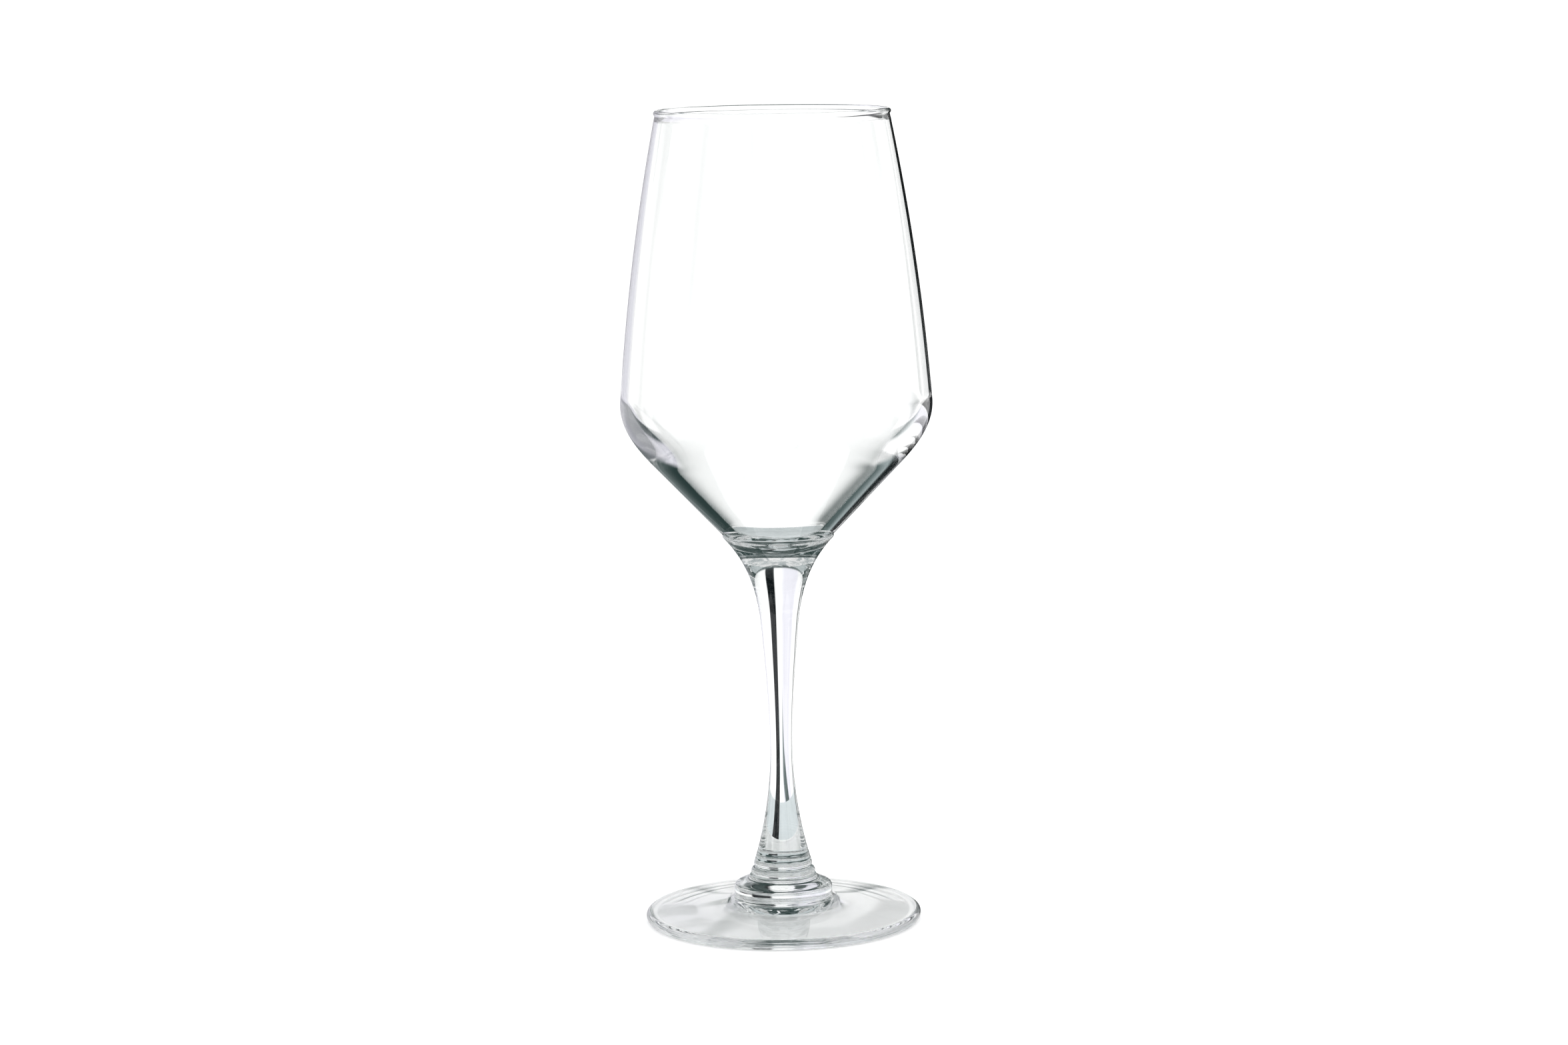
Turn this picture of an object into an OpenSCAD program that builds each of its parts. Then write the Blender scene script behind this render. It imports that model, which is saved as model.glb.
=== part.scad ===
// Stemmed wine glass standing on the plane z = 0 with its axis on Z, in millimetres.
// Bowl, stem, collar and foot are separate gathers of clear glass, fused face to face.
// Every outline is a half profile [radius, height], turned about Z. A lean is the angle
// between the outline and the vertical on the way down: outwards is positive.

/* [Bowl] */
// Height of the rim above the table
glass_h = 225; // [215:1:240]
// Outer radius of the rim
rim_r = 32.3; // [30:0.1:35]
// Radius of the fire-polished bead that finishes the rim
bead_r = 0.85; // [0.7:0.05:1]
// Lean of the wall just under the rim
rim_lean = 11.3; // [8:0.1:14]
// Outer radius at the belly, the widest point of the bowl
belly_r = 42.8; // [40:0.1:45]
// Height of the belly
belly_z = 145.7; // [142:0.1:152]
// Lean of the wall at the belly, where the shoulder begins
belly_lean = 4.6; // [2:0.1:7]
// Outer radius where the shoulder runs into the cone
cone_r = 34.1; // [33:0.1:35]
// Height where the shoulder runs into the cone
cone_z = 128.2; // [126:0.1:130]
// Slope of the cone, measured from the vertical
cone_slope = 43.5; // [41:0.5:45]
// Wall thickness at the belly
belly_wall = 2.3; // [1.6:0.1:3]
// Wall thickness across the cone
cone_wall = 3.9; // [3:0.1:4.5]
// Radius of the rounded bottom inside the bowl
well_r = 19; // [16:0.5:21]

/* [Joint of bowl and stem] */
// Height of the seam where the bowl sits in the top of the stem
seam_z = 108.3; // [107:0.1:109]
// Depth of the bowl's round base below the seam
base_sag = 6.8; // [5.5:0.1:7.5]
// Rounding of the two edges that meet at the seam
seam_round = 0.35; // [0.2:0.05:0.5]

/* [Stem] */
// Radius of the stem under the trumpet
neck_r = 5.05; // [4.5:0.05:5.5]
// Height of the neck under the trumpet
neck_z = 82.2; // [80:0.1:85]
// Lean of the stem at the neck
neck_lean = 5; // [3:0.5:7]
// Radius of the thinnest point
waist_r = 3.1; // [2.8:0.05:3.6]
// Height of the thinnest point
waist_z = 48; // [44:0.5:52]
// Radius of the stem's lower end
stem_end_r = 7.8; // [7.4:0.1:8]
// Height of the stem's lower end
stem_end_z = 17; // [16.6:0.1:18]
// Lean of the stem at its lower end
stem_end_lean = 18; // [14:1:22]

/* [Collar] */
// Radius of the upper ring
upper_ring_r = 8.1; // [8:0.1:8.5]
// Radius of the lower ring
lower_ring_r = 8.9; // [8.6:0.1:9.2]
// Height of the groove between the rings
ring_groove_z = 14.8; // [14.5:0.1:15.2]
// Height of the collar's underside
collar_z = 12.7; // [12.4:0.1:13]

/* [Foot] */
// Outer radius of the foot
foot_r = 38.3; // [36:0.1:41]
// Radius of the foot's rounded edge, half of its edge thickness
edge_r = 1.5; // [1.2:0.1:1.8]
// Radius of the boss under the collar
boss_r = 13.6; // [13:0.1:14.5]
// Height of the boss where its shoulder ends
boss_z = 9.2; // [8.8:0.1:9.6]
// Height of the foot where it leaves the boss
foot_top_z = 5.6; // [5:0.1:6]
// Outer radius of the hollow under the foot, inside the ring that the glass stands on
hollow_r = 35.5; // [34:0.1:36]
// Depth of the hollow under the foot at the axis
hollow_depth = 3.3; // [1.5:0.1:3.6]

/* [Hidden] */
$fn = 96;
CLEAR_GLASS = [0.86, 0.92, 0.91, 0.45];

// The wall leaves the bead low on its outer side.
BEAD_END = -50;
bead_axis = [rim_r - bead_r, glass_h - bead_r];

// Seam circle at the lower end of the straight cone, and the sphere of the bowl's base.
seam_r = cone_r - (cone_z - seam_z) * tan(cone_slope);
base_edge_r = seam_r - seam_round;
base_sphere_r = (base_edge_r * base_edge_r + base_sag * base_sag) / (2 * base_sag);
base_edge_angle = asin(base_edge_r / base_sphere_r);

// The inner cone runs parallel to the outer one and touches the well, a sphere on the axis.
inner_cone = [cone_r - cone_wall * cos(cone_slope), cone_z + cone_wall * sin(cone_slope)];
inner_apex_z = inner_cone[1] - inner_cone[0] / tan(cone_slope);
well_edge = [well_r * cos(cone_slope), inner_apex_z + well_r * pow(cos(cone_slope), 2) / sin(cone_slope)];
well_z = inner_apex_z + well_r * (1 / sin(cone_slope) - 1);
inner_belly = [belly_r - belly_wall, belly_z + 1.5];
inner_rim_lean = 10.3;

// Flare of the boss under the collar, its shoulder, and the cove into the foot.
boss_neck_r = lower_ring_r + 0.3;
boss_shoulder_r = boss_r - 1.1;
boss_shoulder_z = boss_z + 1.5;
boss_side_z = boss_z - 1.6;
foot_top_r = boss_r + 2.6;
edge_top_lean = 84;

// A direction on an outline, from its lean.
function along(lean) = [sin(lean), -cos(lean)];

// One smooth stretch between two points that leaves p and reaches q at the given leans.
// stiff_p and stiff_q set how long the curve keeps each lean, as shares of the chord.
function stretch(p, lean_p, q, lean_q, stiff_p = 0.35, stiff_q = 0.35, steps = 12) =
    let (chord = norm(q - p),
         a = p + chord * stiff_p * along(lean_p),
         b = q - chord * stiff_q * along(lean_q))
    [for (i = [0 : steps])
        let (t = i / steps, s = 1 - t)
        s * s * s * p + 3 * s * s * t * a + 3 * s * t * t * b + t * t * t * q];

// Points on a circle in the half profile, from angle a0 to angle a1.
function arc(centre, r, a0, a1, steps = 8) =
    [for (i = [0 : steps])
        let (a = a0 + (a1 - a0) * i / steps)
        centre + r * [cos(a), sin(a)]];

function reversed(points) = [for (i = [len(points) - 1 : -1 : 0]) points[i]];

// Round base of the bowl, from the axis out to the seam: the stem's top is cut to the same arc.
base_arc = arc([0, seam_z - base_sag + base_sphere_r], base_sphere_r, -90, base_edge_angle - 90, 10);

module turned(outline) {
    rotate_extrude() polygon(outline);
}

module bowl() {
    outer_wall = stretch(bead_axis + bead_r * [cos(BEAD_END), sin(BEAD_END)], rim_lean,
                         [belly_r, belly_z], belly_lean);
    shoulder = stretch([belly_r, belly_z], belly_lean, [cone_r, cone_z], -cone_slope);
    seam_edge = stretch([seam_r, seam_z] - 2 * seam_round * along(-cone_slope), -cone_slope,
                        [base_edge_r, seam_z], -80, steps = 4);
    well = stretch(well_edge, -cone_slope, [0, well_z], -90);
    inner_shoulder = stretch(inner_belly, belly_lean, inner_cone, -cone_slope);
    inner_wall = stretch(bead_axis - [bead_r, 0], inner_rim_lean, inner_belly, belly_lean);
    color(CLEAR_GLASS)
        turned(concat(arc(bead_axis, bead_r, 180, BEAD_END, 14), outer_wall, shoulder, seam_edge,
                      reversed(base_arc), reversed(well), reversed(inner_shoulder),
                      reversed(inner_wall)));
}

module stem() {
    lip = arc([base_edge_r + seam_round / 2, seam_z - seam_round], seam_round, 120, 0, 4);
    trumpet = stretch([seam_r, seam_z - 2 * seam_round], -cone_slope, [neck_r, neck_z], -neck_lean,
                      0.3, 0.45, 16);
    shaft = stretch([neck_r, neck_z], -neck_lean, [waist_r, waist_z], 0);
    flare = stretch([waist_r, waist_z], 0, [stem_end_r, stem_end_z], stem_end_lean, 0.35, 0.25);
    color(CLEAR_GLASS)
        turned(concat(base_arc, lip, trumpet, shaft, flare, [[0, stem_end_z]]));
}

// Edge of one ring: a bulge from height z1 down to z0 that reaches radius r.
function ring_edge(r, z1, z0) =
    let (mid = (z1 + z0) / 2, half = (z1 - z0) / 2)
    [for (a = [75 : -25 : -75]) [r - half * (1 - cos(a)), mid + half * sin(a)]];

module collar() {
    color(CLEAR_GLASS)
        turned(concat([[0, stem_end_z]], ring_edge(upper_ring_r, stem_end_z, ring_groove_z),
                      ring_edge(lower_ring_r, ring_groove_z, collar_z), [[0, collar_z]]));
}

module foot() {
    flare = stretch([boss_neck_r, collar_z], 25, [boss_shoulder_r, boss_shoulder_z], 62, steps = 6);
    shoulder = stretch([boss_shoulder_r, boss_shoulder_z], 62, [boss_r, boss_z], 0, steps = 6);
    cove = stretch([boss_r, boss_side_z], 0, [foot_top_r, foot_top_z], 80, 0.5, 0.4, 8);
    top = stretch([foot_top_r, foot_top_z], 80,
                  [foot_r - edge_r, edge_r] + edge_r * [cos(edge_top_lean), sin(edge_top_lean)],
                  edge_top_lean);
    edge = arc([foot_r - edge_r, edge_r], edge_r, edge_top_lean, -90, 12);
    hollow = stretch([hollow_r, 0], -98, [0, hollow_depth], -90);
    color(CLEAR_GLASS)
        turned(concat([[0, collar_z]], flare, shoulder, cove, top, edge, hollow));
}

bowl();
stem();
collar();
foot();
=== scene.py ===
"""Looks for the stemmed wine glass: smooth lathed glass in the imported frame, studio and camera."""

import math

import bmesh
import bpy
import numpy as np
from mathutils import Matrix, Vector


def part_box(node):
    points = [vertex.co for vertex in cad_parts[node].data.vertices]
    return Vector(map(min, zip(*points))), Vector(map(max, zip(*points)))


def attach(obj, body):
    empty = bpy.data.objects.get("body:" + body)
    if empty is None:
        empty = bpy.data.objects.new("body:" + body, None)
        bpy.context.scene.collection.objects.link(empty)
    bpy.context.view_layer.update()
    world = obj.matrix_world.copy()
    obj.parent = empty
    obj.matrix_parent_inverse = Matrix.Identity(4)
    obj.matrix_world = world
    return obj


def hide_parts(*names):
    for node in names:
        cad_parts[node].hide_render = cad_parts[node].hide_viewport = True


MM = 0.001

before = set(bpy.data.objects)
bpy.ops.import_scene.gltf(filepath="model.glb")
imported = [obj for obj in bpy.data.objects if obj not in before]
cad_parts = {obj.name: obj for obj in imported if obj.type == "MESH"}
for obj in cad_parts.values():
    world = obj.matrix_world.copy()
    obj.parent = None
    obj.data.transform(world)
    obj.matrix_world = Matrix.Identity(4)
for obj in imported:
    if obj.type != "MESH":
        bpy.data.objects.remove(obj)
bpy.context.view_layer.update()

# ---------------------------------------------------------------- sizes, in millimetres
# The same outlines as the CAD part. What a node's box tells is read from the frame.


def box_mm(node):
    """Lowest and highest corner of a CAD node, in millimetres."""
    low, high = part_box(node)
    return low / MM, high / MM


BOWL_HIGH = box_mm("bowl")[1]
COLLAR_LOW, COLLAR_HIGH = box_mm("collar")
FOOT_HIGH = box_mm("foot")[1]

# Bowl: leans are in degrees from the vertical on the way down, outwards positive
GLASS_H = round(BOWL_HIGH.z, 1)
RIM_R = 32.3
BEAD_R = 0.85
BEAD_END = -50  # the wall leaves the bead low on its outer side, in degrees
RIM_LEAN, INNER_RIM_LEAN = 11.3, 10.3
BELLY_R, BELLY_Z, BELLY_LEAN, BELLY_WALL = 42.8, 145.7, 4.6, 2.3
INNER_BELLY_RISE = 1.5  # the inside is widest this much higher than the outside
CONE_R, CONE_Z, CONE_SLOPE, CONE_WALL = 34.1, 128.2, 43.5, 3.9
WELL_R = 19.0

# Joint of bowl and stem, then the stem
SEAM_Z, BASE_SAG, SEAM_ROUND = 108.3, 6.8, 0.35
NECK_R, NECK_Z, NECK_LEAN = 5.05, 82.2, 5.0
WAIST_R, WAIST_Z = 3.1, 48.0
STEM_END_R, STEM_END_LEAN = 7.8, 18.0
STEM_END_Z = round(COLLAR_HIGH.z, 1)

# Collar
UPPER_RING_R, LOWER_RING_R, RING_GROOVE_Z = 8.1, 8.9, 14.8
COLLAR_Z = round(COLLAR_LOW.z, 1)

# Foot and its boss
FOOT_R = round(FOOT_HIGH.x, 1)
EDGE_R, EDGE_TOP_LEAN = 1.5, 84.0
BOSS_NECK_R = LOWER_RING_R + 0.3
BOSS_R, BOSS_Z = 13.6, 9.2
BOSS_SHOULDER_R, BOSS_SHOULDER_Z = BOSS_R - 1.1, BOSS_Z + 1.5
BOSS_SIDE_Z = BOSS_Z - 1.6
FOOT_TOP_R, FOOT_TOP_Z = BOSS_R + 2.6, 5.6
HOLLOW_R, HOLLOW_DEPTH, HOLLOW_LEAN = 35.5, 3.3, 98.0

# Lathe
SEGMENTS = 256
JOINT_GAP = 0.01  # the fused faces stay this far apart, so that no two faces share a place
SAME_POINT = 2e-3  # points of an outline that are closer than this are one point
ON_AXIS = 1e-6

# ---------------------------------------------------------------- outlines
# Half profiles, as rows of radius and height.


def vec(r, z):
    """A point or a direction in the half profile."""
    return np.array([r, z], float)


def along(lean):
    """Direction down an outline that leans this many degrees outwards."""
    a = math.radians(lean)
    return vec(math.sin(a), -math.cos(a))


def stretch(p, lean_p, q, lean_q, stiff_p=0.35, stiff_q=0.35, steps=32):
    """A smooth curve from p to q that starts and ends at the given leans."""
    p, q = np.asarray(p, float), np.asarray(q, float)
    chord = np.linalg.norm(q - p)
    a, b = p + chord * stiff_p * along(lean_p), q - chord * stiff_q * along(lean_q)
    t = np.linspace(0, 1, steps + 1)[:, None]
    s = 1 - t
    return s**3 * p + 3 * s * s * t * a + 3 * s * t * t * b + t**3 * q


def arc(centre, radius, start, end, steps=12):
    """Points on a circle from one angle to another, in degrees."""
    a = np.radians(np.linspace(start, end, steps + 1))
    return np.asarray(centre) + radius * np.stack([np.cos(a), np.sin(a)], 1)


BEAD_AXIS = vec(RIM_R - BEAD_R, GLASS_H - BEAD_R)
SLOPE = math.radians(CONE_SLOPE)
SEAM_R = CONE_R - (CONE_Z - SEAM_Z) * math.tan(SLOPE)
BASE_EDGE_R = SEAM_R - SEAM_ROUND
BASE_SPHERE_R = (BASE_EDGE_R**2 + BASE_SAG**2) / (2 * BASE_SAG)
BASE_EDGE_ANGLE = math.degrees(math.asin(BASE_EDGE_R / BASE_SPHERE_R))


def base_arc(gap):
    """The bowl's round base from the axis to the seam, raised by gap."""
    centre = vec(0, SEAM_Z - BASE_SAG + BASE_SPHERE_R + gap)
    return arc(centre, BASE_SPHERE_R, -90, BASE_EDGE_ANGLE - 90, 24)


def bowl_outside():
    """From the bead down the wall, round the shoulder and down the cone to the seam."""
    bead_end = arc(BEAD_AXIS, BEAD_R, BEAD_END, BEAD_END, 0)[0]
    belly, cone = vec(BELLY_R, BELLY_Z), vec(CONE_R, CONE_Z)
    cone_end = vec(SEAM_R, SEAM_Z) - 2 * SEAM_ROUND * along(-CONE_SLOPE)
    return np.vstack([
        stretch(bead_end, RIM_LEAN, belly, BELLY_LEAN, steps=48),
        stretch(belly, BELLY_LEAN, cone, -CONE_SLOPE, steps=48),
        stretch(cone_end, -CONE_SLOPE, vec(BASE_EDGE_R, SEAM_Z), -80, steps=8),
    ])


def bowl_inside():
    """From the bead down the inner wall and cone to the middle of the round well."""
    inner_belly = vec(BELLY_R - BELLY_WALL, BELLY_Z + INNER_BELLY_RISE)
    inner_cone = vec(CONE_R - CONE_WALL * math.cos(SLOPE), CONE_Z + CONE_WALL * math.sin(SLOPE))
    apex = inner_cone[1] - inner_cone[0] / math.tan(SLOPE)
    well_edge_z = apex + WELL_R * math.cos(SLOPE) ** 2 / math.sin(SLOPE)
    well_edge = vec(WELL_R * math.cos(SLOPE), well_edge_z)
    well_z = apex + WELL_R * (1 / math.sin(SLOPE) - 1)
    return np.vstack([
        stretch(BEAD_AXIS - vec(BEAD_R, 0), INNER_RIM_LEAN, inner_belly, BELLY_LEAN, steps=48),
        stretch(inner_belly, BELLY_LEAN, inner_cone, -CONE_SLOPE, steps=48),
        stretch(well_edge, -CONE_SLOPE, vec(0, well_z), -90, steps=32),
    ])


def bowl_outline():
    """Free surface from the seam up the outside, over the rim and down to the well."""
    rim = arc(BEAD_AXIS, BEAD_R, BEAD_END, 180, 32)
    return np.vstack([bowl_outside()[::-1], rim, bowl_inside()])


def stem_outline():
    """Free surface from the seam down the trumpet, the shaft and the flare."""
    lip_axis = vec(BASE_EDGE_R + SEAM_ROUND / 2, SEAM_Z - SEAM_ROUND)
    top, neck = vec(SEAM_R, SEAM_Z - 2 * SEAM_ROUND), vec(NECK_R, NECK_Z)
    waist, end = vec(WAIST_R, WAIST_Z), vec(STEM_END_R, STEM_END_Z)
    return np.vstack([
        arc(lip_axis, SEAM_ROUND, 120, 0, 8),
        stretch(top, -CONE_SLOPE, neck, -NECK_LEAN, 0.3, 0.45, 64),
        stretch(neck, -NECK_LEAN, waist, 0, steps=48),
        stretch(waist, 0, end, STEM_END_LEAN, 0.35, 0.25, 48),
    ])


def ring_edge(radius, top, bottom):
    """Bulging edge of one ring of the collar."""
    middle, half = (top + bottom) / 2, (top - bottom) / 2
    a = np.radians(np.linspace(75, -75, 17))
    return np.stack([radius - half * (1 - np.cos(a)), middle + half * np.sin(a)], 1)


def collar_outline():
    """Free surface down over the two rings."""
    return np.vstack([
        ring_edge(UPPER_RING_R, STEM_END_Z, RING_GROOVE_Z),
        ring_edge(LOWER_RING_R, RING_GROOVE_Z, COLLAR_Z),
    ])


def foot_outline():
    """Free surface down the boss, over the disc and its edge and across the hollow."""
    neck, shoulder = vec(BOSS_NECK_R, COLLAR_Z), vec(BOSS_SHOULDER_R, BOSS_SHOULDER_Z)
    disc = vec(FOOT_TOP_R, FOOT_TOP_Z)
    edge = arc(vec(FOOT_R - EDGE_R, EDGE_R), EDGE_R, EDGE_TOP_LEAN, -90, 32)
    return np.vstack([
        stretch(neck, 25, shoulder, 62, steps=16),
        stretch(shoulder, 62, vec(BOSS_R, BOSS_Z), 0, steps=20),
        stretch(vec(BOSS_R, BOSS_SIDE_Z), 0, disc, 80, 0.5, 0.4, 28),
        stretch(disc, 80, edge[0], EDGE_TOP_LEAN, steps=32),
        edge,
        stretch(vec(HOLLOW_R, 0), -HOLLOW_LEAN, vec(0, HOLLOW_DEPTH), -90, steps=40),
    ])


def flat_face(radius, z, rings=6):
    """A flat fused face from the axis out to radius."""
    return np.stack([np.linspace(0, radius, rings + 1), np.full(rings + 1, float(z))], 1)


def clean_outline(points):
    """Drops points that repeat, and puts a point that should be on the axis exactly there."""
    points = np.array(points)
    points[np.abs(points[:, 0]) < ON_AXIS, 0] = 0
    keep = np.r_[True, np.linalg.norm(np.diff(points, axis=0), axis=1) > SAME_POINT]
    return points[keep]


# ---------------------------------------------------------------- lathe


def join_outlines(parts):
    """All rows of a closed outline, and the material slot of each step from row to row."""
    rows, kinds = [], []
    for points, kind in parts:
        if rows and np.linalg.norm(rows[-1] - points[0]) < ON_AXIS:
            points = points[1:]
        if rows:
            kinds.append(kind)
        kinds.extend([kind] * (len(points) - 1))
        rows.extend(points)
    return rows, kinds


def turned_vertices(rows):
    """The rows turned about Z, in metres, and the number of each row's first vertex."""
    turns = np.linspace(0, 2 * math.pi, SEGMENTS, endpoint=False)
    verts, starts = [], []
    for r, z in rows:
        starts.append(len(verts))
        if r == 0:
            verts.append((0, 0, z * MM))
        else:
            verts.extend((r * math.cos(a) * MM, r * math.sin(a) * MM, z * MM) for a in turns)
    return verts, starts


def turned_face(rows, starts, i, k):
    """Face k between rows i and i + 1, which is a triangle where one of them is on the axis."""
    a, b = starts[i], starts[i + 1]
    n = (k + 1) % SEGMENTS
    if rows[i][0] == 0:
        return (a, b + n, b + k)
    if rows[i + 1][0] == 0:
        return (a + k, a + n, b)
    return (a + k, a + n, b + n, b + k)


def lathe(name, free, fused_start=None, fused_end=None):
    """A closed solid of revolution. free is the outline of its free surface, and the fused faces
    run from the axis to its first point and from its last point to the axis. Faces on them get
    the second material."""
    parts = [(clean_outline(free), 0)]
    if fused_start is not None:
        parts.insert(0, (clean_outline(fused_start), 1))
    if fused_end is not None:
        parts.append((clean_outline(fused_end), 1))
    rows, kinds = join_outlines(parts)
    verts, starts = turned_vertices(rows)
    faces = [turned_face(rows, starts, i, k) for i in range(len(kinds)) for k in range(SEGMENTS)]
    mesh = bpy.data.meshes.new(name)
    mesh.from_pydata(verts, [], faces)
    slots = [kind for kind in kinds for k in range(SEGMENTS)]
    mesh.polygons.foreach_set("material_index", slots)
    mesh.polygons.foreach_set("use_smooth", [True] * len(faces))
    mesh.validate()
    face_outwards(mesh)
    sharpen_fused_edges(mesh)
    piece = bpy.data.objects.new(name, mesh)
    bpy.context.scene.collection.objects.link(piece)
    return piece


def face_outwards(mesh):
    """Turns all faces over if the closed mesh encloses a negative volume."""
    bm = bmesh.new()
    bm.from_mesh(mesh)
    if bm.calc_volume(signed=True) < 0:
        bmesh.ops.reverse_faces(bm, faces=bm.faces[:])
    bm.to_mesh(mesh)
    bm.free()


def sharpen_fused_edges(mesh):
    """The shading breaks where a free surface meets a fused face."""
    kinds = {}
    for polygon in mesh.polygons:
        for key in polygon.edge_keys:
            kinds.setdefault(key, set()).add(polygon.material_index)
    for edge in mesh.edges:
        if len(kinds.get(edge.key, ())) > 1:
            edge.use_edge_sharp = True


# ---------------------------------------------------------------- materials

BOWL_TINT = (0.995, 1.0, 0.998)
THICK_TINT = (0.99, 1.0, 0.997)
# Waves in the surface of each piece: height in metres, squeeze along Z, waves to the metre
WAVES = {
    "bowl": (0.000006, 0.4, 16),
    "stem": (0.000008, 0.15, 120),
    "collar": (0.00001, 1.0, 150),
    "foot": (0.00002, 1.0, 50),
}
GLASS_IOR = 1.52
SMEARS_PER_METRE = 60
SMEAR_NOISE = (0.45, 0.75)  # polished up to the first value, smeared from the second
SMEAR_ROUGHNESS = 0.004
FILM_COLOUR = (0.03, 0.045, 0.043, 1)
FILM = 0.05  # how much of the light the film in a joint takes, on each of its two faces
FLOOR_COLOURS = (0.96, 0.96, 0.965, 1), (0.985, 0.985, 0.99, 1)
FLOOR_GRAIN = 30
FLOOR_SHINE = 0.1
MATT = 0.9


def new_material(name):
    """A material with a Principled shader, and that shader."""
    mat = bpy.data.materials.new(name)
    mat.use_nodes = True
    return mat, mat.node_tree.nodes["Principled BSDF"]


def noise(mat, vector, scale, detail=2.0):
    """Noise over a vector, from about 0.3 to 0.7."""
    node = mat.node_tree.nodes.new("ShaderNodeTexNoise")
    node.inputs["Scale"].default_value = scale
    node.inputs["Detail"].default_value = detail
    mat.node_tree.links.new(vector, node.inputs["Vector"])
    return node.outputs["Fac"]


def glass_material(name, tint, height, squeeze_z, waves_per_metre):
    """Clear fire-polished glass: slow waves in the surface, faint smears in the polish."""
    mat, shader = new_material(name)
    nodes, links = mat.node_tree.nodes, mat.node_tree.links
    shader.inputs["Base Color"].default_value = (*tint, 1)
    shader.inputs["Transmission Weight"].default_value = 1
    shader.inputs["IOR"].default_value = GLASS_IOR
    place = nodes.new("ShaderNodeTexCoord")
    squeeze = nodes.new("ShaderNodeMapping")
    squeeze.inputs["Scale"].default_value = (1, 1, squeeze_z)
    links.new(place.outputs["Object"], squeeze.inputs["Vector"])
    bump = nodes.new("ShaderNodeBump")
    bump.inputs["Strength"].default_value = 1.0
    bump.inputs["Distance"].default_value = height
    waves = noise(mat, squeeze.outputs[0], waves_per_metre, 1.0)
    links.new(waves, bump.inputs["Height"])
    links.new(bump.outputs[0], shader.inputs["Normal"])
    polish = nodes.new("ShaderNodeMapRange")
    polish.inputs["From Min"].default_value = SMEAR_NOISE[0]
    polish.inputs["From Max"].default_value = SMEAR_NOISE[1]
    polish.inputs["To Min"].default_value = 0.0
    polish.inputs["To Max"].default_value = SMEAR_ROUGHNESS
    smears = noise(mat, squeeze.outputs[0], SMEARS_PER_METRE, 4.0)
    links.new(smears, polish.inputs["Value"])
    links.new(polish.outputs[0], shader.inputs["Roughness"])
    return mat


def matt_material(name, colour, specular=0.0):
    """A matt surface of one colour."""
    mat, shader = new_material(name)
    shader.inputs["Base Color"].default_value = colour
    shader.inputs["Roughness"].default_value = MATT
    shader.inputs["Specular IOR Level"].default_value = specular
    return mat


def fused_material():
    """Faces where two gathers of glass have melted together: light goes straight through, dimmed
    a little by the grey film in the joint."""
    mat = matt_material("fused_glass", FILM_COLOUR)
    mat.node_tree.nodes["Principled BSDF"].inputs["Alpha"].default_value = FILM
    return mat


def floor_material():
    """A pale matt floor with a faint grain."""
    mat = matt_material("pale_floor", FLOOR_COLOURS[0], FLOOR_SHINE)
    nodes, links = mat.node_tree.nodes, mat.node_tree.links
    place = nodes.new("ShaderNodeTexCoord")
    shade = nodes.new("ShaderNodeMixRGB")
    shade.inputs["Color1"].default_value = FLOOR_COLOURS[0]
    shade.inputs["Color2"].default_value = FLOOR_COLOURS[1]
    links.new(noise(mat, place.outputs["Object"], FLOOR_GRAIN), shade.inputs["Fac"])
    links.new(shade.outputs[0], nodes["Principled BSDF"].inputs["Base Color"])
    return mat


# ---------------------------------------------------------------- pieces


def make_meshes():
    """The four gathers of glass, each a closed solid beside its neighbour's fused face."""
    stem, collar, foot = stem_outline(), collar_outline(), foot_outline()
    gap = JOINT_GAP / 2
    stem_end = flat_face(stem[-1][0], STEM_END_Z + gap)[::-1]
    collar_top = flat_face(collar[0][0], STEM_END_Z - gap)
    collar_end = flat_face(collar[-1][0], COLLAR_Z + gap)[::-1]
    foot_top = flat_face(foot[0][0], COLLAR_Z - gap)
    return {
        "bowl": lathe("bowl_glass", bowl_outline(), fused_start=base_arc(gap)),
        "stem": lathe("stem_glass", stem, fused_start=base_arc(-gap), fused_end=stem_end),
        "collar": lathe("collar_glass", collar, fused_start=collar_top, fused_end=collar_end),
        "foot": lathe("foot_glass", foot, fused_start=foot_top),
    }


def make_pieces():
    """Each gather of glass rides on the one body and stands for its own CAD node."""
    fused = fused_material()
    for node, piece in make_meshes().items():
        tint = BOWL_TINT if node == "bowl" else THICK_TINT
        piece.data.materials.append(glass_material(node + "_glass", tint, *WAVES[node]))
        piece.data.materials.append(fused)
        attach(piece, "root")
        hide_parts(node)


# ---------------------------------------------------------------- floor, in metres and degrees

FLOOR_R = 0.30
SHADE_START_R = 0.042
SHADE_R = 0.085
FLOOR_Z, SHADE_Z, STRIPS_Z = -0.0001, 0.0, 0.0001
SHADE = (0.55, 0.59, 0.60, 1)
# Black of the flags, and of the painted flag shadows on the floor
FLAG_AND_SHADOW_BLACK = (0.006, 0.008, 0.010, 1)
# First and last azimuth of each strip of painted flag shadow on the floor and of the black flag
# above it, from +Y towards +X
FLAG_STRIPS = ((6.5, 19.5), (-62.0, -54.0), (-107.0, -99.0), (144.0, 152.0))
SECTOR_STEP = 4


def make_stage_mesh(name, material, sectors, height):
    """A flat stage object of ring sectors: inner and outer radius, first and last azimuth."""
    verts, faces = [], []
    for inner, outer, low, high in sectors:
        steps = max(1, round((high - low) / SECTOR_STEP))
        start = len(verts)
        for a in np.radians(np.linspace(low, high, steps + 1)):
            for radius in (inner, outer):
                verts.append((radius * math.sin(a), radius * math.cos(a), height))
        for k in range(start, start + 2 * steps, 2):
            faces.append((k, k + 1, k + 3, k + 2))
    mesh = bpy.data.meshes.new(name)
    mesh.from_pydata(verts, [], faces)
    piece = bpy.data.objects.new(name, mesh)
    bpy.context.scene.collection.objects.link(piece)
    mesh.materials.append(material)
    return piece


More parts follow.
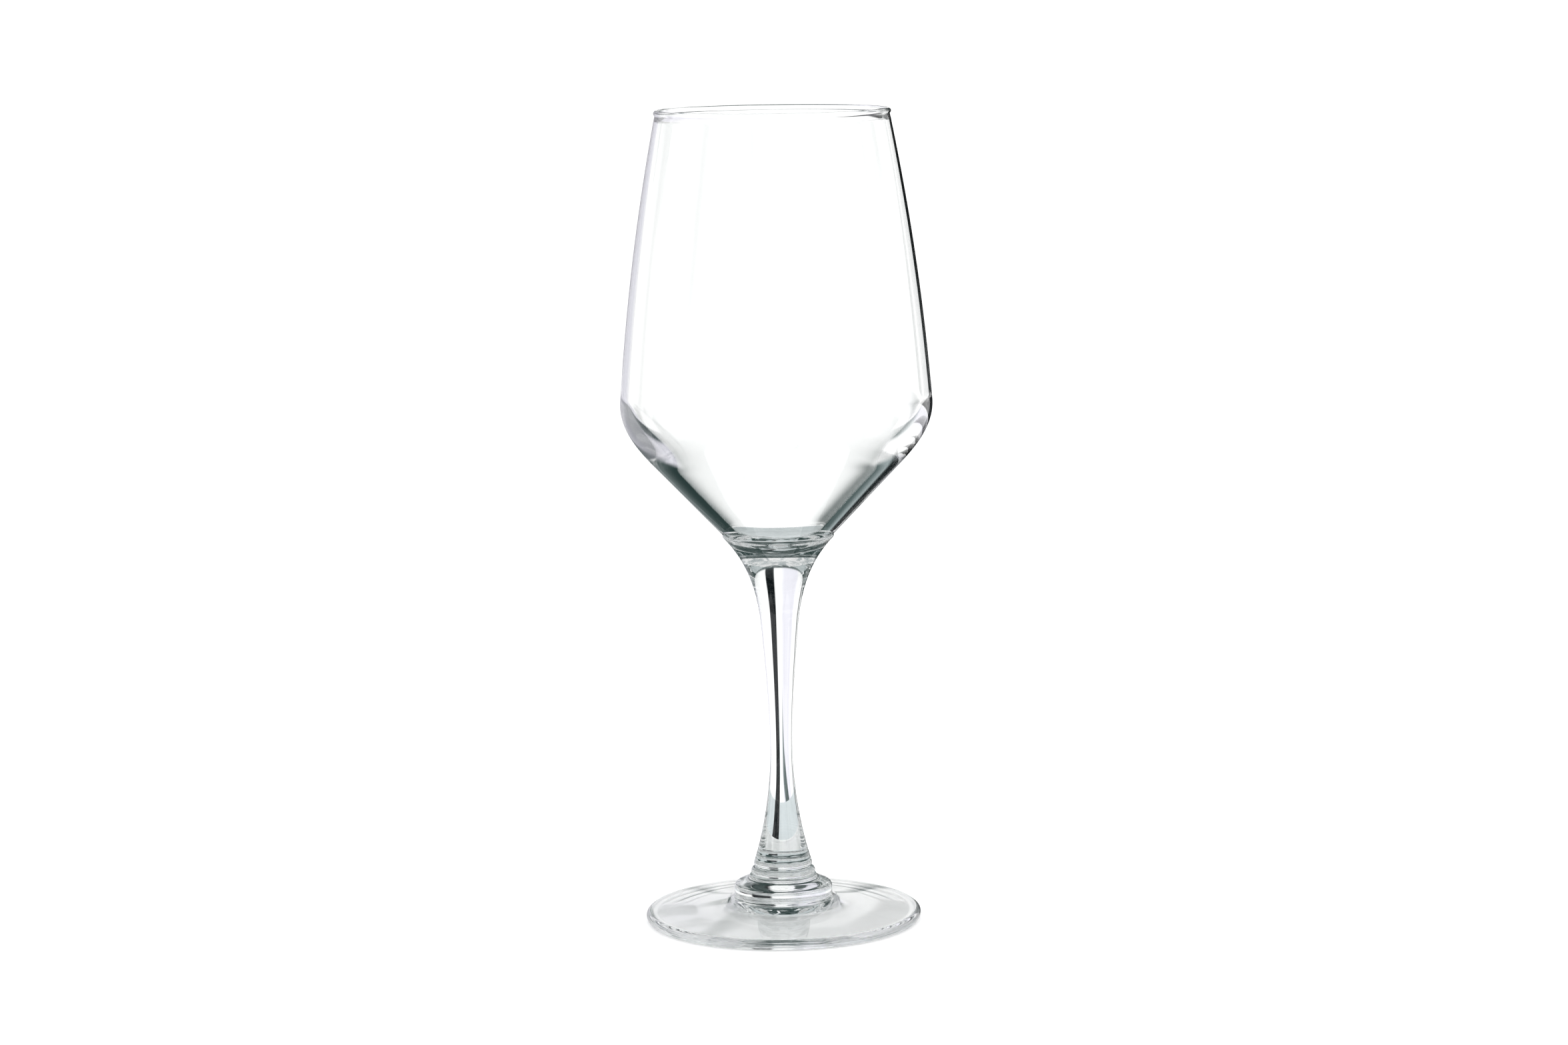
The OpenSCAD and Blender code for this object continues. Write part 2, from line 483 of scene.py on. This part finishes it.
def make_floor():
    """The floor lies open under the foot. Farther out only the camera and the shadows meet it,
    and rays that leave the glass downwards meet a ring of painted shade round the foot, crossed by
    black strips of painted flag shadow, and then the studio. Reflections on the glass's outside pass
    through all three."""
    pale = floor_material()
    make_stage_mesh("floor_centre", pale, [(0.0, SHADE_START_R, 0, 360)], FLOOR_Z)
    wide = make_stage_mesh("floor", pale, [(SHADE_START_R, FLOOR_R, 0, 360)], FLOOR_Z)
    wide.visible_transmission = False
    wide.visible_glossy = False
    # The grey ring is painted shade round the foot, seen only by rays that leave the glass
    grey = matt_material("floor_shade", SHADE)
    shade = make_stage_mesh("floor_shade", grey, [(SHADE_START_R, SHADE_R, 0, 360)], SHADE_Z)
    # The black sectors are painted shadow of the flags, seen only through the glass
    black = matt_material("painted_flag_shadows", FLAG_AND_SHADOW_BLACK)
    sectors = [(SHADE_START_R, SHADE_R, low, high) for low, high in FLAG_STRIPS]
    flag_shadows = make_stage_mesh("painted_flag_shadows", black, sectors, STRIPS_Z)
    for piece in (shade, flag_shadows):
        piece.visible_camera = False
        piece.visible_diffuse = False
        piece.visible_glossy = False
        piece.visible_shadow = False


# ---------------------------------------------------------------- studio light
# Clear glass shows what stands around it, so the world is a white studio with dark screens.
# What a ray sees depends on its direction and on its path: how many surfaces it crossed, how many
# times it was mirrored (its turns), and how many fused faces it passed. Directions are in degrees:
# azimuth from +Y towards +X, elevation from the horizon up. Aside is the azimuth from the nearest
# quarter turn, so screens placed by it stand behind the glass in four views. A step or a band is
# given by its first and last degree, and a band also by how soft its ends are.

WHITE = (1.0, 1.0, 1.0, 1)
BLACK = (0, 0, 0, 1)
LAVENDER = (0.85, 0.84, 0.90, 1)
LEFT_NEAR = (0.20, 0.24, 0.24, 1)
LEFT_FAR = (0.035, 0.060, 0.058, 1)
RIGHT_NEAR = (0.50, 0.56, 0.57, 1)
RIGHT_FAR = (0.13, 0.17, 0.17, 1)
DEEP_DARK = (0.05, 0.075, 0.072, 1)
EDGE_GREY = (0.25, 0.26, 0.28, 1)
JOINT_DARK = (0.055, 0.085, 0.082, 1)
JOINT_PALE = (0.56, 0.60, 0.61, 1)
FLOOR_LIGHT = (1.3, 1.3, 1.3, 1)
STUDIO_STRENGTH = 1.04

TO_DEGREES = 180 / math.pi
QUARTER = 90

ONE_WALL = 2  # a ray that goes in and out of one wall crosses two surfaces
MANY_TURNS = 9  # a ray that runs round inside a wall turns more often than this

FLAG_HEIGHTS = (-24, 40, 3)
FLAG_SOFT, FAR_FLAG_SOFT = 1.2, 3.0
FAR_FLAG = 0.85  # how black the flags after the first are
LAVENDER_BAND = (-32, -5, 4)

# The wings are dark fields below the horizon, one on each side. Their upper and lower limit start
# at an elevation straight behind the glass and fall by a share of the degrees aside.
WING_TOP = (-3, 0.85)
WING_TOP_STEP = (-1.5, 1.5)
WING_BOTTOM = (-13, 0.87)
WING_BOTTOM_STEP = (-2, 2)
WING_START = (3, 7)
LEFT_FADE = (4, 26)
RIGHT_FADE = (18, 29)

# The same wings through both walls, where they fade in on each side, and how dark they get
WALLS_BOTTOM_STEP = (1.5, 5.5)
WALLS_LEFT = (8, 25)
WALLS_RIGHT = (6, 14)
WALLS_SHARE = 0.9

# A dark line inside the right side of the bowl, seen through both walls
INNER_LINE = (15.0, 20.0, 1.0)
INNER_LINE_HEIGHTS = (-12, 3, 2)
INNER_LINE_SHARE = 0.75

# Where rays that run round inside the wall see black: past this azimuth, and farther on for each
# turn above the given number
EDGE_AZIMUTH = -36.4
EDGE_TURNS = 13.7
EDGE_SHIFT = 11.8
EDGE_SOFT = 0.6
EDGE_GREY_FROM = (28, 34)

# Elevations past which rays see darkness
UPWARD = (3, 6)
STEEP_DOWN = (-36, -42)
STEEP_UP = (36, 62, 3)
SECOND_TURN = (0, 50, 2)
SECOND_TURN_HEIGHTS = (-40, -6, 3)

# Below the horizon, mirror images on the glass's outside are black in one band and a little
# dimmed beside it
MIRROR_FADE = (0, 5)
MIRROR_BAND = (8, 24.5, 1.5)
MIRROR_DIM = 0.25

# The noise that stands for uneven glass, and the steps that turn it into dark and pale
SWIRL_SIZE, SWIRL_DETAIL, SWIRL_TWIST = 2.6, 2.0, 1.2
TRAPPED_SWIRL = (0.47, 0.53, 0.95, 0.1)
COLLAR_SWIRL = (0.49, 0.56)
LENS_SWIRL = (0.57, 0.61)
LENS_GLINTS = (0.61, 0.65)
TRUMPET_SWIRL = (0.40, 0.52)


class WorldNodes:
    """Small helpers that write arithmetic as nodes."""

    def __init__(self, tree):
        self.nodes, self.links = tree.nodes, tree.links

    def feed(self, socket, value):
        """Sets a socket to a number or colour, or links it to a node's output."""
        if isinstance(value, (int, float, tuple)):
            socket.default_value = value
        else:
            self.links.new(value, socket)

    def math(self, operation, a, b=0.0):
        node = self.nodes.new("ShaderNodeMath")
        node.operation = operation
        self.feed(node.inputs[0], a)
        self.feed(node.inputs[1], b)
        return node.outputs[0]

    def times(self, a, b):
        return self.math("MULTIPLY", a, b)

    def minus(self, a, b):
        return self.math("SUBTRACT", a, b)

    def above(self, value, count):
        """1 where a whole number is greater than count."""
        return self.math("GREATER_THAN", value, count + 0.5)

    def up_to(self, value, count):
        """1 where a whole number is count or less."""
        return self.math("LESS_THAN", value, count + 0.5)

    def ramp(self, value, low, high, start=0.0, end=1.0):
        """start at low and end at high, with a smooth step between. high may be below low."""
        node = self.nodes.new("ShaderNodeMapRange")
        node.interpolation_type = "SMOOTHSTEP"
        self.feed(node.inputs["Value"], value)
        node.inputs["From Min"].default_value = low
        node.inputs["From Max"].default_value = high
        node.inputs["To Min"].default_value = start
        node.inputs["To Max"].default_value = end
        return node.outputs[0]

    def band(self, value, low, high, soft):
        """1 between low and high, falling to 0 over soft on each side."""
        up = self.ramp(value, low - soft, low + soft)
        down = self.ramp(value, high - soft, high + soft)
        return self.minus(up, down)

    def blend(self, amount, a, b):
        """Colour a where amount is 0, colour b where it is 1."""
        node = self.nodes.new("ShaderNodeMixRGB")
        self.feed(node.inputs["Fac"], amount)
        self.feed(node.inputs["Color1"], a)
        self.feed(node.inputs["Color2"], b)
        return node.outputs[0]


class Ray:
    """What the studio knows of a ray, each as a node's output."""

    def __init__(self, w):
        place = w.nodes.new("ShaderNodeTexCoord")
        split = w.nodes.new("ShaderNodeSeparateXYZ")
        direction = place.outputs["Generated"]
        w.links.new(direction, split.inputs[0])
        x, y, z = split.outputs
        self.azimuth = w.times(w.math("ARCTAN2", x, y), TO_DEGREES)
        self.elevation = w.times(w.math("ARCSINE", z), TO_DEGREES)
        past_quarter = w.math("ADD", self.azimuth, QUARTER / 2)
        past_quarter = w.math("FLOORED_MODULO", past_quarter, QUARTER)
        self.aside = w.minus(past_quarter, QUARTER / 2)
        self.off = w.math("ABSOLUTE", self.aside)
        self.right = w.math("GREATER_THAN", self.aside, 0)
        path = w.nodes.new("ShaderNodeLightPath")
        self.from_camera = path.outputs["Is Camera Ray"]
        self.crossed = path.outputs["Transmission Depth"]
        self.turns = path.outputs["Glossy Depth"]
        self.joints = path.outputs["Transparent Depth"]
        self.scattered = path.outputs["Diffuse Depth"]
        self.swirl = swirled_light(w, direction)
        self.below_top, self.wing_bottom = wing_limits(w, self.elevation, self.off)


def swirled_light(w, direction):
    """Slow swirls over all directions, as uneven glass breaks up its surroundings."""
    swirls = w.nodes.new("ShaderNodeTexNoise")
    swirls.inputs["Scale"].default_value = SWIRL_SIZE
    swirls.inputs["Detail"].default_value = SWIRL_DETAIL
    swirls.inputs["Distortion"].default_value = SWIRL_TWIST
    w.links.new(direction, swirls.inputs["Vector"])
    return swirls.outputs["Fac"]


def wing_limits(w, elevation, off):
    """1 below the wings' upper limit, and the elevation of their lower limit."""
    top = w.minus(WING_TOP[0], w.times(off, WING_TOP[1]))
    bottom = w.minus(WING_BOTTOM[0], w.times(off, WING_BOTTOM[1]))
    return w.ramp(w.minus(top, elevation), *WING_TOP_STEP), bottom


def flags(w, ray):
    """Tall black flags. Rays that turned many times meet only the first."""
    far = w.times(w.up_to(ray.turns, MANY_TURNS), FAR_FLAG)
    amount = w.band(ray.azimuth, *FLAG_STRIPS[0], FLAG_SOFT)
    for low, high in FLAG_STRIPS[1:]:
        flag = w.band(ray.azimuth, low, high, FAR_FLAG_SOFT)
        amount = w.math("ADD", amount, w.times(flag, far))
    return w.times(amount, w.band(ray.elevation, *FLAG_HEIGHTS))


def plain_light(w, ray):
    """What a ray sees that has crossed one wall: white with a lavender veil on the left, the
    wings and the flags."""
    above_bottom = w.ramp(w.minus(ray.elevation, ray.wing_bottom), *WING_BOTTOM_STEP)
    wing = w.times(ray.below_top, above_bottom)
    left = w.blend(w.ramp(ray.off, *LEFT_FADE), LEFT_NEAR, LEFT_FAR)
    right = w.blend(w.ramp(ray.off, *RIGHT_FADE), RIGHT_NEAR, RIGHT_FAR)
    seen = w.blend(w.band(ray.aside, *LAVENDER_BAND), WHITE, LAVENDER)
    wing = w.times(wing, w.ramp(ray.off, *WING_START))
    seen = w.blend(wing, seen, w.blend(ray.right, left, right))
    return w.blend(flags(w, ray), seen, FLAG_AND_SHADOW_BLACK)


def trapped_light(w, ray, seen):
    """Dark swirls for rays that were mirrored a few times, or leave upwards after a turn, and
    darkness far above and far below for all rays."""
    upward = w.times(w.above(ray.turns, 0), w.ramp(ray.elevation, *UPWARD))
    trapped = w.math("MAXIMUM", w.above(ray.turns, 2), upward)
    trapped = w.times(trapped, w.up_to(ray.turns, MANY_TURNS))
    steep_down = w.ramp(ray.elevation, *STEEP_DOWN)
    steep = w.math("ADD", steep_down, w.band(ray.elevation, *STEEP_UP))
    dark = w.math("MAXIMUM", w.times(trapped, w.ramp(ray.swirl, *TRAPPED_SWIRL)), steep)
    return w.blend(dark, seen, DEEP_DARK)


def edge_light(w, ray, seen):
    """Rays that ran round inside the wall draw the bowl's outline: black where they come out on
    the left, grey where they come out on the right. Rays that were mirrored twice or more and
    come out low on the right find it dark."""
    running = w.above(ray.turns, MANY_TURNS)
    more_turns = w.math("MAXIMUM", w.minus(ray.turns, EDGE_TURNS), 0.0)
    limit = w.minus(EDGE_AZIMUTH, w.times(more_turns, EDGE_SHIFT))
    beyond = w.ramp(w.minus(limit, ray.azimuth), -EDGE_SOFT, EDGE_SOFT)
    seen = w.blend(w.times(beyond, running), seen, FLAG_AND_SHADOW_BLACK)
    far = w.times(running, w.ramp(ray.azimuth, *EDGE_GREY_FROM))
    seen = w.blend(far, seen, EDGE_GREY)
    second = w.times(w.above(ray.turns, 1), w.band(ray.azimuth, *SECOND_TURN))
    return w.blend(w.times(second, w.band(ray.elevation, *SECOND_TURN_HEIGHTS)), seen, DEEP_DARK)


def far_wall_light(w, ray):
    """What a ray sees that has crossed both walls: white, with the wings in dark grey-green and
    one dark line on the right."""
    left = w.ramp(ray.off, *WALLS_LEFT, 0.0, WALLS_SHARE)
    right = w.ramp(ray.off, *WALLS_RIGHT, 0.0, WALLS_SHARE)
    share = w.math("ADD", w.times(ray.right, right), w.times(w.minus(1.0, ray.right), left))
    above_bottom = w.ramp(w.minus(ray.elevation, ray.wing_bottom), *WALLS_BOTTOM_STEP)
    seen = w.blend(w.times(w.times(ray.below_top, above_bottom), share), WHITE, LEFT_FAR)
    line = w.times(w.band(ray.aside, *INNER_LINE), w.band(ray.elevation, *INNER_LINE_HEIGHTS))
    return w.blend(w.times(line, INNER_LINE_SHARE), seen, LEFT_FAR)


def mirror_light(w, ray, seen):
    """Darkens the mirror images that the glass's outside shows of what is below the horizon."""
    mirrored = w.times(w.up_to(ray.crossed, 0), w.above(ray.turns, 0))
    share = w.times(w.band(ray.aside, *MIRROR_BAND), 1 - MIRROR_DIM)
    mirrored = w.times(mirrored, w.math("ADD", MIRROR_DIM, share))
    mirrored = w.times(mirrored, w.ramp(ray.elevation, *MIRROR_FADE, 1.0, 0.0))
    return w.blend(mirrored, seen, BLACK)


def joint_light(w, ray, seen):
    """What rays see that have passed fused faces: swirls of dark and pale, as in uneven glass.
    Rays through the knot's lens have passed four, and rays that also run along the trumpet pass
    more and come out paler."""
    collar = w.blend(w.ramp(ray.swirl, *COLLAR_SWIRL), JOINT_DARK, JOINT_PALE)
    collar = w.blend(w.above(ray.crossed, ONE_WALL), collar, JOINT_PALE)
    lens = w.blend(w.ramp(ray.swirl, *LENS_SWIRL), JOINT_DARK, JOINT_PALE)
    lens = w.blend(w.ramp(ray.swirl, *LENS_GLINTS), lens, WHITE)
    trumpet = w.blend(w.ramp(ray.swirl, *TRUMPET_SWIRL), JOINT_PALE, WHITE)
    seen = w.blend(w.above(ray.joints, 0), seen, collar)
    seen = w.blend(w.above(ray.joints, 3), seen, lens)
    return w.blend(w.above(ray.joints, 4), seen, trumpet)


def make_world():
    """The studio: white for the camera, bright for the floor, and with dark screens for rays
    that come out of the glass."""
    world = bpy.data.worlds.new("studio")
    bpy.context.scene.world = world
    world.use_nodes = True
    world.node_tree.nodes.clear()
    w = WorldNodes(world.node_tree)
    ray = Ray(w)
    one_wall = edge_light(w, ray, trapped_light(w, ray, plain_light(w, ray)))
    seen = w.blend(w.up_to(ray.crossed, ONE_WALL), far_wall_light(w, ray), one_wall)
    seen = mirror_light(w, ray, seen)
    seen = joint_light(w, ray, seen)
    seen = w.blend(ray.from_camera, seen, WHITE)
    seen = w.blend(w.above(ray.scattered, 0), seen, FLOOR_LIGHT)
    background = w.nodes.new("ShaderNodeBackground")
    w.links.new(seen, background.inputs["Color"])
    background.inputs["Strength"].default_value = STUDIO_STRENGTH
    output = w.nodes.new("ShaderNodeOutputWorld")
    w.links.new(background.outputs[0], output.inputs["Surface"])


# ---------------------------------------------------------------- camera and display

CAMERA_PLACE = (0.00164, -1.0884, 0.2677)
CAMERA_DOWN, CAMERA_ROLL = 8.168, 0.83
LENS, SENSOR = 91.66, 36
EXPOSURE, GAMMA = 0.15, 0.85
GLASS_BOUNCES = 48  # light runs far round inside the walls
JOINT_CROSSINGS = 24


def make_camera():
    """A long lens a little above the rim, looking slightly down."""
    data = bpy.data.cameras.new("camera")
    data.lens = LENS
    data.sensor_width = SENSOR
    camera = bpy.data.objects.new("camera", data)
    bpy.context.scene.collection.objects.link(camera)
    pitch = Matrix.Rotation(math.radians(90 - CAMERA_DOWN), 4, "X")
    roll = Matrix.Rotation(math.radians(-CAMERA_ROLL), 4, "Z")
    camera.matrix_world = Matrix.Translation(CAMERA_PLACE) @ pitch @ roll
    bpy.context.scene.camera = camera


def set_display():
    """Plain display of the light, and enough bounces for thick clear glass."""
    scene = bpy.context.scene
    scene.view_settings.view_transform = "Standard"
    scene.view_settings.exposure = EXPOSURE
    scene.view_settings.gamma = GAMMA
    scene.cycles.max_bounces = GLASS_BOUNCES
    scene.cycles.glossy_bounces = GLASS_BOUNCES
    scene.cycles.transmission_bounces = GLASS_BOUNCES
    scene.cycles.transparent_max_bounces = JOINT_CROSSINGS


make_pieces()
make_floor()
make_world()
make_camera()
set_display()
bpy.context.view_layer.update()
